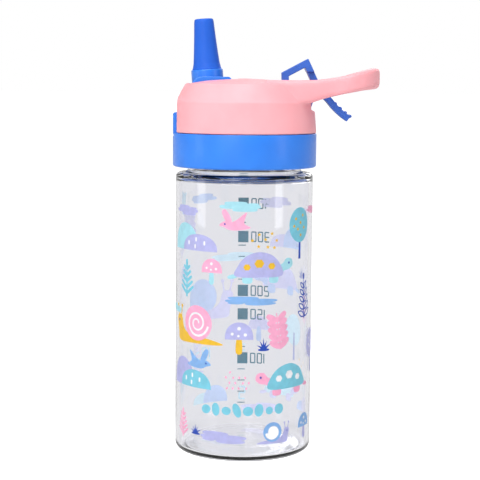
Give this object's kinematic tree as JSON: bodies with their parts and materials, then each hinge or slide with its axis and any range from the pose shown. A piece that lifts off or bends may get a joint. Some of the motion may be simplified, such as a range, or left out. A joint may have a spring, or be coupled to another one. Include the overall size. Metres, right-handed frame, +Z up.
{
  "type": "kids water bottle",
  "caption": "Clear kids' water bottle with a screw lid, a flip-up drinking spout, a push release, a forked thumb lever and a carry loop.",
  "frame": {"origin": "centre of the base ring, on the plane that the bottle stands on", "axes": "+Z up along the bottle's axis, -X to the spout and the release button, +X to the carry loop and the lever"},
  "size_m": [0.1017, 0.071, 0.2136],
  "materials": {
    "clear_body": "glossy clear copolyester",
    "blue_plastic": "semi-gloss moulded",
    "soft_blue": "satin soft spout",
    "lever_blue": "satin moulded",
    "pink_plastic": "satin moulded",
    "silicone": "translucent silicone",
    "steel": "bright",
    "print_ink": "screen print"
  },
  "bodies": {
    "bottle": {"bottle_body": "clear_body"},
    "gasket": {"lid_seal": "silicone"},
    "lid": {"screw_collar": "blue_plastic", "lid_deck": "blue_plastic", "dome_cover": "pink_plastic", "port_seal": "silicone", "vent_valve": "silicone", "spout_hinge_pin": "steel", "spout_spring": "steel", "button_hinge_pin": "steel", "button_spring": "steel", "lever_hinge_pin": "steel"},
    "spout": {"spout_base": "blue_plastic", "spout_mouthpiece": "soft_blue"},
    "button": {"release_button": "blue_plastic"},
    "lever": {"thumb_lever": "lever_blue"}
  },
  "joints": [
    {"name": "lid_lift", "type": "slide", "parent": "bottle", "child": "gasket", "axis": [0, 0, 1], "range_m": [0, 0.0068]},
    {"name": "lid_turn", "type": "hinge", "parent": "gasket", "child": "lid", "pos_m": [0, 0, 0.1477], "axis": [0, 0, 1], "range_deg": [0, 540]},
    {"name": "spout_fold", "type": "hinge", "parent": "lid", "child": "spout", "pos_m": [-0.018, 0, 0.1774], "axis": [0, 1, 0], "range_deg": [0, 94], "stiffness_Nm_per_rad": 0.01},
    {"name": "button_rock", "type": "hinge", "parent": "lid", "child": "button", "pos_m": [-0.031, 0, 0.1639], "axis": [0, -1, 0], "range_deg": [0, 5], "stiffness_Nm_per_rad": 0.05, "deforming": ["button_spring"]},
    {"name": "lever_swing", "type": "hinge", "parent": "lid", "child": "lever", "pos_m": [0.03, 0, 0.1724], "axis": [0, -1, 0], "range_deg": [0, 45]}
  ],
  "couplings": [
    {"joint": "lid_lift", "follows": "lid_turn", "m_per_rad": 0.0007162}
  ]
}
